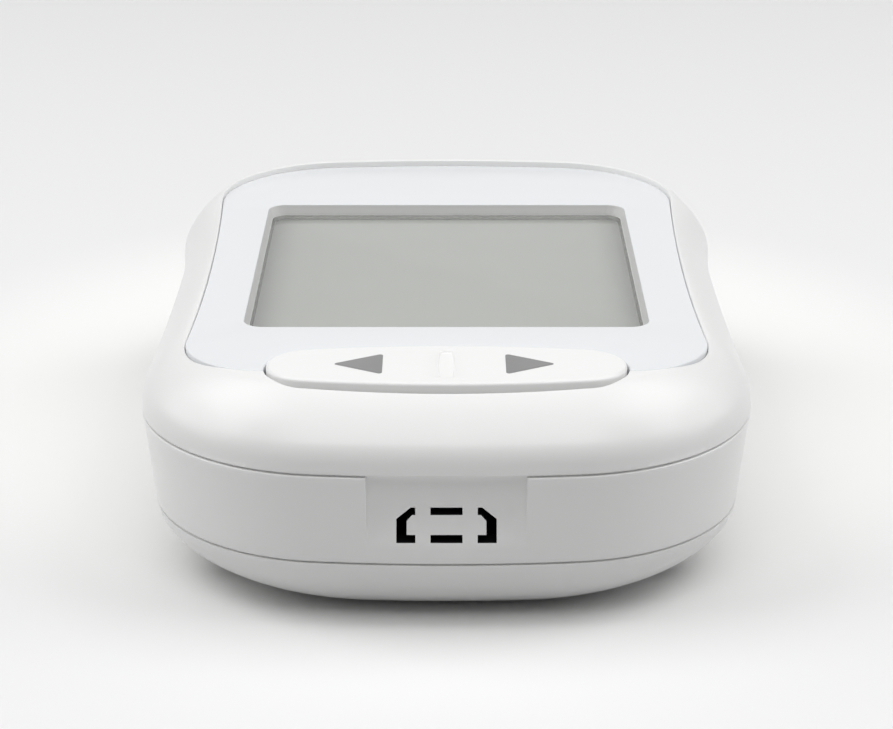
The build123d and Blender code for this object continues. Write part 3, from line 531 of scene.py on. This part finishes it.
def upperShell():
    # ring with a closed section: each column starts at its foot on the outline, goes round the
    # seam edge, over the crown at depths of width * (1 - cos turn), level to the brink of the
    # pocket or key hole, down that and back along the inside
    oval = ovalArcs(keyPlan, upper["keyGap"])
    end, edge = keyMeetsEdge(pocketArcs, oval)
    arcs = np.vstack([oval[0], end, edge, pocketArcs[1:]])
    inner, _ = wholeRing(*alongArcs(arcs, stepsAlong(arcs, upper["spacing"])))
    depth, normal = footOn(inner, bodyArcs)
    foot = inner + normal * depth[:, None]
    r, seamEdge = upper["rimEdge"], upper["seamEdge"]
    top = depth - r
    sideWidth, endWidth = upper["crownSide"], upper["crownEnd"]
    width = turnedBetween(normal, sideWidth, endWidth, (sideWidth + endWidth) / 2)
    onCrown = np.minimum(top * upper["crownShare"], width)
    turnMax = np.arccos(1 - onCrown / width)
    share = np.linspace(0, 1, upper["crownRows"])[:, None]
    crown = width * (1 - np.cos(turnMax * share))
    flat = onCrown + (top - onCrown) * np.linspace(0, 1, upper["flatRows"] + 1)[1:, None]
    rows = [(d, None) for d in np.vstack([crown[1:], flat])]
    bend = np.linspace(0, math.pi / 2, upper["edgeRows"])
    every = 0 * depth  # a number plus this is that number for every column
    rows = [(every + seamEdge * (1 - math.sin(a)), every + upper["seam"] + seamEdge * (1 - math.cos(a)))
            for a in bend] + rows

    def at(d):
        return foot - normal * d[:, None]

    brink = crownHeight(top, at(top)[:, 1], width)
    rows += [(top + r * math.sin(a), brink - r * (1 - math.cos(a))) for a in bend[1:]]

    def under(d):
        lowest = upper["ledge"] - upper["chamfer"]
        return np.minimum(upper["ledge"], lowest + np.clip(d - upper["wall"], 0, None))

    for d in (depth, np.minimum(depth, upper["wall"] + upper["chamfer"]), every + upper["wall"]):
        rows.append((d, under(d)))
    rows.append((every + upper["wall"], every + upper["seam"]))
    layers = []
    for d, z in rows:
        xy = at(d)
        layers.append(np.c_[xy, crownHeight(d, xy[:, 1], width) if z is None else z])
    return gridPiece("upperShell", np.stack(layers))


finishMesh(upperShell(), shellWhite, "housing", ["upper_case"])
print("upper shell made")


# face panel and ledge
panel = {"edge": 0.12, "keyGap": 0.2, "spacing": 0.3, "ledgeEdge": 0.05, "air": 0.02}
windowWall = {
    "panelLean": 0.3, "skirtLean": 0.22, "behind": 0.3, "edge": 0.01, "reach": 0.02, "upright": 0.6,
}
lens = {"low": 18.0, "flange": 18.15, "top": 19.77, "margin": 1.6, "play": 0.03, "edge": 0.03}


def windowLoop(grow=0.0):
    # the window's rounded rectangle, larger all round by grow
    w = windowPlan
    corners = rectangle(w["halfWidth"] + grow, w["near"] - grow, w["far"] + grow)
    return roundedPolygon(corners, w["corner"] + grow, w["cornerSteps"])


def notchedLoop(arcs):
    # the panel's outline with the rear half of the key's oval taken out of its near edge
    oval = ovalArcs(keyPlan, panel["keyGap"])
    end, edge = keyMeetsEdge(arcs, oval)
    rear = mirrored(oval, keyPlan["y"])  # from the right tip round to the rear middle
    tip = np.array([end[0], end[1], end[2], end[3] + end[4], -(end[3] + end[4]), 1])
    back = np.vstack([tip, rear])
    notch, _ = alongArcs(back, stepsAlong(back, panel["spacing"]))  # crossing -> tip -> rear middle
    outer = np.vstack([edge, arcs[1:]])
    side, _ = alongArcs(outer, stepsAlong(outer, panel["spacing"]))
    right = np.vstack([notch[::-1], side[1:]])  # rear middle -> crossing -> round to far middle
    loop, _ = wholeRing(right, right)
    return loop


def facePanel():
    # the cover round the display, with the window's hole narrowing downwards
    loop = notchedLoop(waistedArcs(panelPlan))
    return plate("facePanel", [(loop, 1), (windowLoop(), -1)], upper["pocket"], upper["panelTop"],
                 panel["edge"], lean=windowWall["panelLean"])


def caseLedge():
    # the part of the upper case that the panel lies on, a little lower so that they don't touch
    loop = notchedLoop(pocketArcs)
    return plate("caseLedge", [(loop, 1), (windowLoop(windowWall["behind"]), -1)], upper["ledge"],
                 upper["pocket"] - panel["air"], panel["ledgeEdge"], smallRim)


def windowSkirt():
    # leaning wall of the window below the panel, let into the ledge
    w = windowWall
    loops = [(windowLoop(2 * w["behind"]), 1), (windowLoop(-w["panelLean"]), -1)]
    return plate("windowSkirt", loops, lens["flange"] + panel["air"], upper["pocket"] - panel["air"],
                 w["edge"], smallRim, lean=w["skirtLean"])


def displayLens():
    # clear plate with a raised step that fills the window's skirt: rings from the step's rim
    # down its side, out over the flange, down to the underside, closed by flat faces
    step, flange, edge = -lens["play"] - windowWall["panelLean"], lens["margin"], lens["edge"]
    foot = step - windowWall["skirtLean"]
    eased = 0.3 * edge  # how far the middle of the rounded rim stays inside its corner
    rings = [
        (step - edge, lens["top"]), (step - eased, lens["top"] - eased), (step, lens["top"] - edge),
        (foot, lens["flange"]), (flange, lens["flange"]), (flange, lens["low"]),
    ]
    n = len(windowLoop())
    loops = np.stack([np.c_[windowLoop(grow), np.full(n, z)] for grow, z in rings])
    last = n * (len(rings) - 1)
    faces = gridFaces(len(rings), n).tolist() + [list(range(n)), list(range(last, last + n))]
    return meshFrom("displayLens", loops.reshape(-1, 3), faces)


def shadedWindowWalls(middles, facing):
    # the faces of the panel's opening that stand nearly upright; they are given a darker grey as painted
    # shade for the shade inside the window
    x, y, _ = middles
    w, reach = windowPlan, windowWall["reach"]
    within = (np.abs(x) < w["halfWidth"] + reach) & (y > w["near"] - reach) & (y < w["far"] + reach)
    return within & (facing[2] < windowWall["upright"])


# the window's upright walls take the darker grey: painted shade
panelPiece = twoTones(facePanel(), panelPale, windowWallShade, shadedWindowWalls)
finishMesh(panelPiece, None, "housing", ["face_panel"])
finishMesh(displayLens(), lensClear, "housing", ["display_lens"], sharp=20.0)
finishMesh(caseLedge(), maskGrey, "housing", ["upper_case"])
finishMesh(windowSkirt(), maskGrey, "housing", ["upper_case"])
print("face panel made")


# mid band
band = {
    "low": 6.4, "high": 14.6, "sideDraft": 0.95, "endDraft": 0.8, "seam": 0.18, "seamDepth": 0.35,
    "wall": 2.4, "lip": 0.8, "lipHeight": 1.0, "edge": 0.12, "edgeRows": 4, "faceRows": 14,
    "spacing": 0.35, "cutPast": 1.0, "recessHalf": 6.65, "recessTop": 0.9, "recessTilt": 13.0,
    "recessLevel": 0.335, "recessEdge": 0.14, "recessStep": 0.02,
}
port = {
    "top": 11.4, "height": 3.0, "half": 4.17, "stroke": 0.86, "barStroke": 0.66, "across": 1.2,
    "down": 1.0, "innerAcross": 0.45, "innerDown": 0.52, "barHalf": 1.33, "bracketInner": 2.59,
    "wallFrom": 0.2, "sideways": 0.5, "reach": 0.1,
}
strip = {"half": 5.1, "low": 10.6, "high": 14.2}


def midBand():
    # ring: drafted outer face between two seams, lips inside; in the recess the near face is
    # pushed back to a shallow scoop, whose depth is the depth at its top + slope * (d - d^2 / (2 *
    # level)), where d goes from 0 at the top of the band to 1 at its foot
    r = bodyArcs[0, 2]
    half, recessEdge, step = band["recessHalf"], band["recessEdge"], band["recessStep"]
    tall = band["high"] - band["low"]
    marks = [r * math.asin(x / r) for x in (half - step, half, half + recessEdge)]
    steps = stepsAlong(bodyArcs, band["spacing"], marks)
    plan, normal = wholeRing(*alongArcs(bodyArcs, steps))
    top = band["high"] - band["seam"]
    bend = np.linspace(0, math.pi / 2, band["edgeRows"])
    e = band["edge"]
    section = [(band["seamDepth"], 0, top)]  # rows of own inset, share of the draft, height
    section += [(e * (1 - math.sin(a)), 0, top - e * (1 - math.cos(a))) for a in bend]
    for z in np.linspace(top - e, band["low"] + e, band["faceRows"])[1:-1]:
        section.append((0, (band["high"] - z) / tall, z))
    section += [(e * (1 - math.cos(a)), 1, band["low"] + e * (1 - math.sin(a))) for a in bend]
    lip, lipTop = band["wall"] - band["lip"], band["high"] + band["lipHeight"]
    section += [(band["wall"], 0, band["low"]), (band["wall"], 0, lipTop), (lip, 0, lipTop),
                (lip, 0, band["high"]), (band["seamDepth"], 0, band["high"])]
    section = np.array(section)
    sideDraft, endDraft = band["sideDraft"], band["endDraft"]
    draft = turnedBetween(normal, sideDraft, endDraft, (sideDraft + endDraft) / 2)
    inset = section[:, 0, None] + section[:, 1, None] * draft
    xy = plan[None] - normal[None] * inset[..., None]
    z = np.broadcast_to(section[:, 2, None], xy.shape[:2])
    across, nearSide = np.abs(plan[:, 0]), plan[:, 1] < 0
    down = (band["high"] - z) / tall
    slope = math.tan(math.radians(band["recessTilt"])) * tall
    floor = bodyPlan["near"] + band["recessTop"] + slope * (down - down**2 / (2 * band["recessLevel"]))
    chamfer = plan[:, 1] + np.clip(half + recessEdge - across, 0, recessEdge)
    pushed = np.where(across[None] < half - step / 2, floor, chamfer[None])
    inRecess = (across < half + recessEdge) & nearSide
    xy[..., 1] = np.where(inRecess[None], np.maximum(xy[..., 1], pushed), xy[..., 1])
    return gridPiece("midBand", np.dstack([xy, z]))


def portCutters():
    # two brackets and two bars, the outline of a small data plug with four bridges left
    p = port
    top, low = p["top"], p["top"] - p["height"]
    innerTop, innerLow = top - p["barStroke"], low + p["barStroke"]
    end, half, inner = p["bracketInner"], p["half"], p["half"] - p["stroke"]
    bracket = np.array([
        (end, low), (half, low), (half, top - p["down"]), (half - p["across"], top), (end, top),
        (end, innerTop), (inner - p["innerAcross"], innerTop), (inner, innerTop - p["innerDown"]),
        (inner, innerLow), (end, innerLow),
    ])
    outlines = [bracket, bracket[::-1] * [-1, 1]]
    outlines += [rectangle(p["barHalf"], foot, foot + p["barStroke"]) for foot in (innerTop, low)]
    outside, inside = bodyPlan["near"] - band["cutPast"], bodyPlan["near"] + band["wall"] + band["cutPast"]
    return [prism(f"portCut{i}", outline, inside, outside) for i, outline in enumerate(outlines)]


def stripCutter():
    # opening in the far face for the strip guide
    outside, inside = bodyPlan["far"] + band["cutPast"], bodyPlan["far"] - band["wall"] - band["cutPast"]
    return prism("stripCut", rectangle(strip["half"], strip["low"], strip["high"]), inside, outside)


def shadedSlotWalls(middles, facing):
    # the port slots' own walls, which lie within the band's thickness and don't face along y; the band is
    # white there, and these walls are coloured near-black as painted shade for the dark inside of the slots
    x, y, z = middles
    deep, reach = y - bodyPlan["near"], port["reach"]
    within = (deep > port["wallFrom"]) & (deep < band["wall"]) & (np.abs(x) < port["half"] + reach)
    within &= (z < port["top"] + reach) & (z > port["top"] - port["height"] - reach)
    return within & (facing[1] < port["sideways"])


cutBand = cut(midBand(), portCutters() + [stripCutter()])
# the slots' walls take the near-black: painted shade
bandPiece = twoTones(cutBand, shellWhite, slotShadeBlack, shadedSlotWalls)
finishMesh(bandPiece, None, "housing", ["mid_case"])
print("mid band made")


# key
key = {
    "top": 21.18, "skirt": 2.6, "wall": 1.2, "edge": 0.3, "edgeRows": 6, "spacing": 0.25, "topRows": 10,
    "groove": 0.675, "grooveLength": 6.4, "grooveDepth": 0.15, "grooveEdge": 0.12, "grooveRows": 7,
    "grooveSpread": 1.6, "floorShares": (0.0, 0.6, 0.85),
}


def keyCap():
    # ring: from the groove's floor up its rim, out over the flat top, round the edge, down the
    # skirt and in; the floor and the underside are closed by drawing the loop to its middle line
    quarter = ovalArcs(keyPlan)
    front, frontNormal = alongArcs(quarter, stepsAlong(quarter, key["spacing"]))
    flip = np.array([1.0, -1.0])
    centre = np.array([0.0, keyPlan["y"]])
    rear = (front[::-1] - centre)[1:] * flip + centre
    rearNormal = frontNormal[::-1][1:] * flip
    outer, normal = wholeRing(np.vstack([front, rear]), np.vstack([frontNormal, rearNormal]))
    spot = outer - centre
    groove, top, edge = key["groove"], key["top"], key["edge"]
    low, foot, under = top - key["grooveDepth"], top - key["skirt"], top - key["wall"]
    # groove rim: an upright slot with round ends, met at the same share of the way round
    angle = np.arctan2(spot[:, 1] * keyPlan["halfLength"] / keyPlan["halfWidth"], spot[:, 0])
    rimNormal = np.c_[np.cos(angle), np.sin(angle)]
    rim = rimNormal * groove
    rim[:, 1] += (key["grooveLength"] / 2 - groove) * np.clip(np.sin(angle) * key["grooveSpread"], -1, 1)
    spine = np.c_[0 * angle, rim[:, 1] - rimNormal[:, 1] * groove]
    rings = [(spine + (rim - spine) * share, low) for share in key["floorShares"]]
    for s in np.linspace(0, 1, key["grooveRows"]):
        lift = s * s * (3 - 2 * s)  # level at both ends
        rings.append((rim + rimNormal * key["grooveEdge"] * (s - 0.5), low + (top - low) * lift))
    start, stop = rings[-1][0], spot - normal * edge
    rings += [(start + (stop - start) * s, top) for s in np.linspace(0, 1, key["topRows"])[1:]]
    for a in np.linspace(0, math.pi / 2, key["edgeRows"])[1:]:
        rings.append((spot - normal * edge * (1 - math.sin(a)), top - edge * (1 - math.cos(a))))
    inside = spot - normal * key["wall"]
    rings += [(spot, foot), (inside, foot), (inside, under), (spine, under)]
    rows = [np.c_[centre + ring, np.full(len(ring), height)] for ring, height in rings]
    return gridPiece("keyCap", np.stack(rows), closedRows=False)


symbols = {
    "places": {"keySymbolLeft": (-1, -7.3), "keySymbolRight": (1, 6.9)},  # side and x of each
    "tip": 2.4, "back": -1.9, "rise": 2.5, "corner": 0.25, "cornerSteps": 4, "sunk": 0.05,
    "proud": 0.012, "edge": 0.006,
}


def keySymbols():
    # a plain triangle at each end of the key, pointing outwards and printed a hair proud
    s, made = symbols, []
    for name, (side, x) in s["places"].items():
        corners = np.array([(s["tip"], 0), (s["back"], s["rise"]), (s["back"], -s["rise"])]) * [side, 1]
        loop = roundedPolygon(corners[::side], s["corner"], s["cornerSteps"]) + [x, keyPlan["y"]]
        low, high = key["top"] - s["sunk"], key["top"] + s["proud"]
        made.append(plate(name, [(loop, 1)], low, high, s["edge"], smallRim))
    return made


keyInside = {
    "pivotDrop": 3.2, "pivotRadius": 0.8, "pivotReach": 1.95, "webWidth": 2.4, "webCorner": 0.2,
    "webCornerSteps": 4, "webEdge": 0.05, "plungerX": 8.0, "plungerRadius": 1.2, "edge": 0.15, "lap": 0.3,
    "switchGap": 0.45,
}


def barrel(name, radius, low, high, edge, sides=40):
    # round bar with eased rims: a profile of radius and height carried round the z axis
    profile = [(0, low), (radius - edge, low), (radius, low + edge), (radius, high - edge),
               (radius - edge, high), (0, high)]
    angle = np.linspace(0, 2 * math.pi, sides, endpoint=False)
    rows = [np.c_[r * np.cos(angle), r * np.sin(angle), np.full(sides, z)] for r, z in profile]
    return gridPiece(name, np.stack(rows), closedRows=False)


def laid(obj, place, alongY=False):
    # moves the points of a piece made at the origin, after turning its z axis to y if asked
    points = np.empty(3 * len(obj.data.vertices))
    obj.data.vertices.foreach_get("co", points)
    x, y, z = points.reshape(-1, 3).T
    moved = np.stack([x, z, -y] if alongY else [x, y, z], 1) + np.array(place) * mm
    obj.data.vertices.foreach_set("co", moved.ravel())
    return obj


def keyUnderparts():
    # cross pivot, the web that joins it to the cap, and a plunger over each switch
    k = keyInside
    pivotZ = upper["panelTop"] - k["pivotDrop"]
    inCap = key["top"] - key["wall"] + k["lap"]
    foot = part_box("tact_switches")[1][2] / mm + k["switchGap"]
    reach = keyPlan["halfWidth"] + k["pivotReach"]
    pivot = barrel("keyPivot", k["pivotRadius"], -reach, reach, k["edge"])
    parts = [laid(pivot, (0, keyPlan["y"], pivotZ), alongY=True)]
    for side, name in ((-1, "keyPlungerLeft"), (1, "keyPlungerRight")):
        pin = barrel(name, k["plungerRadius"], 0, inCap - foot, k["edge"])
        parts.append(laid(pin, (side * k["plungerX"], keyPlan["y"], foot)))
    along = keyPlan["halfWidth"] - key["wall"] / 2
    web = roundedPolygon(rectangle(k["webWidth"] / 2, -along, along), k["webCorner"], k["webCornerSteps"])
    web += [0, keyPlan["y"]]
    parts.append(plate("keyWeb", [(web, 1)], pivotZ - k["pivotRadius"], inCap, k["webEdge"], smallRim))
    return parts


finishMesh(keyCap(), keyWhite, "key", ["rocker_key"])
for piece in keyUnderparts():
    finishMesh(piece, keyWhite, "key", ["rocker_key"])
for piece in keySymbols():
    finishMesh(piece, symbolGrey, "key")
print("key made")


# pieces kept from the frame
finishes = {
    "lower_case": shellWhite, "battery_door": shellWhite, "strip_guide": shellWhite,
    "lcd_glass": lcdGrey, "lcd_frame": frameWhite, "zebra_strip": zebraRubber,
    "tact_switches": chipBlack, "main_board": boardGreen, "microcontroller": chipBlack,
    "memory_chip": chipBlack, "crystal": steel, "chip_parts": chipBlack, "buzzer": chipBlack,
    "strip_connector": chipBlack, "strip_contacts": contactGold, "cell_left": cellWrap,
    "cell_right": cellWrap, "link_contact": springSteel, "positive_contact": springSteel,
    "negative_contact": springSteel, "case_screws": steel,
}
for name, material in finishes.items():
    for place in nodes[name].material_slots:
        place.material = material
print("kept nodes finished")


# stage
# middle lies behind the object's middle, so the floor in front of the object falls into the greyer farTone:
# painted shade
stageSizes = {
    "floor": 3.0, "floorTone": (0.95, 0.95, 0.94), "farTone": (0.87, 0.87, 0.87), "farFrom": 0.044,
    "farTo": 0.07, "middle": (0.0, 0.02, 0.0), "bounceTone": (0.62, 0.62, 0.62), "floorRoughness": 0.9,
    "floorShine": 0.1, "worldLamp": 0.0, "worldSeen": 0.82,
}
eye = {  # focal length and picture width in pixels, sensor in mm, tilt in degrees below level
    "focal": 2550, "across": 893, "sensor": 36.0, "place": (0, -0.2313, 0.0958), "tilt": 20.3,
    "nearest": 0.01, "farthest": 20,
}
lamps = {  # place, aim, width, depth, power in watts
    "overhead": ((0.0, 0.05, 0.8), (0, 0, 0), 0.75, 0.75, 2.45),
    "overFront": ((0.0, -0.45, 0.65), (0, 0, 0), 0.7, 0.3, 1.35),
    "sideLeft": ((-0.75, 0.0, 0.35), (0, 0, 0), 0.8, 0.5, 1.6),
    "sideRight": ((0.75, 0.0, 0.35), (0, 0, 0), 0.8, 0.5, 1.45),
    "highLeft": ((-0.5, 0.0, 0.65), (0, 0, 0), 0.5, 0.4, 1.9),
    "highRight": ((0.5, 0.0, 0.65), (0, 0, 0), 0.5, 0.4, 1.85),
}


def floorMaterial():
    # pale sweep: lightest round a point a little behind the object's middle, a little greyer away from it,
    # so the floor just in front of the object is greyer; the pale ring is the stand's own tone, and the
    # greyer front is painted shade for the object's shadow; the light that it throws back onto the object is
    # that of a darker floor
    size = stageSizes
    material, tree, shader = newMaterial("floorPale")
    place = put(tree, "ShaderNodeTexCoord").outputs["Object"]
    away = put(tree, "ShaderNodeVectorMath", [(place, 0)], operation="DISTANCE")
    away.inputs[1].default_value = size["middle"]
    ramp = put(tree, "ShaderNodeMapRange", [(away.outputs["Value"], "Value")],
               interpolation_type="SMOOTHSTEP", From_Min=size["farFrom"], From_Max=size["farTo"])
    tone = colourMix(tree, ramp.outputs["Result"], size["floorTone"], size["farTone"])
    tone = colourMix(tree, seenDirectly(tree), size["bounceTone"], tone)
    tree.links.new(tone, shader.inputs["Base Color"])
    setInputs(shader, Roughness=size["floorRoughness"], Specular_IOR_Level=size["floorShine"])
    return material


def seenDirectly(tree):
    # 1 for rays from the eye, a mirror or through glass, 0 for light on its way to the object
    path = put(tree, "ShaderNodeLightPath")
    seen = path.outputs["Is Camera Ray"]
    for kind in ("Is Glossy Ray", "Is Transmission Ray"):
        either = put(tree, "ShaderNodeMath", [(seen, 0), (path.outputs[kind], 1)], operation="MAXIMUM")
        seen = either.outputs[0]
    return seen


def makeStage():
    # a wide floor at the object's base
    s = stageSizes["floor"]
    mesh = bpy.data.meshes.new("floor")
    mesh.from_pydata([(-s, -s, 0), (s, -s, 0), (s, s, 0), (-s, s, 0)], [], [(0, 1, 2, 3)])
    floor = linked("floor", mesh)
    mesh.materials.append(floorMaterial())


def studioWorld():
    # the backdrop has one strength where the eye or a reflection meets it, and another as a lamp
    world = bpy.data.worlds.new("studio")
    bpy.context.scene.world = world
    world.use_nodes = True
    tree = world.node_tree
    strength = put(tree, "ShaderNodeMapRange", [(seenDirectly(tree), "Value")],
                   To_Min=stageSizes["worldLamp"], To_Max=stageSizes["worldSeen"])
    tree.links.new(strength.outputs["Result"], tree.nodes["Background"].inputs["Strength"])
    tree.nodes["Background"].inputs["Color"].default_value = (1, 1, 1, 1)


def areaLight(name, place, aim, width, depth, power):
    # a rectangular lamp turned to face its aim
    data = bpy.data.lights.new(name, "AREA")
    data.shape = "RECTANGLE"
    data.size = width
    data.size_y = depth
    data.energy = power
    light = bpy.data.objects.new(name, data)
    light.location = place
    light.rotation_euler = (Vector(aim) - Vector(place)).to_track_quat("-Z", "Y").to_euler()
    bpy.context.scene.collection.objects.link(light)


def makeCamera():
    # long lens a little above the near end, looking down its middle
    data = bpy.data.cameras.new("camera")
    data.sensor_width = eye["sensor"]
    data.lens = eye["focal"] / eye["across"] * eye["sensor"]
    data.clip_start, data.clip_end = eye["nearest"], eye["farthest"]
    camera = bpy.data.objects.new("camera", data)
    camera.location = eye["place"]
    camera.rotation_euler = (math.radians(90 - eye["tilt"]), 0, 0)
    bpy.context.scene.collection.objects.link(camera)
    bpy.context.scene.camera = camera


makeStage()
studioWorld()
for lampName, settings in lamps.items():
    areaLight(lampName, *settings)
makeCamera()
bpy.context.scene.view_settings.view_transform = "Standard"
print("stage, lights and camera made")
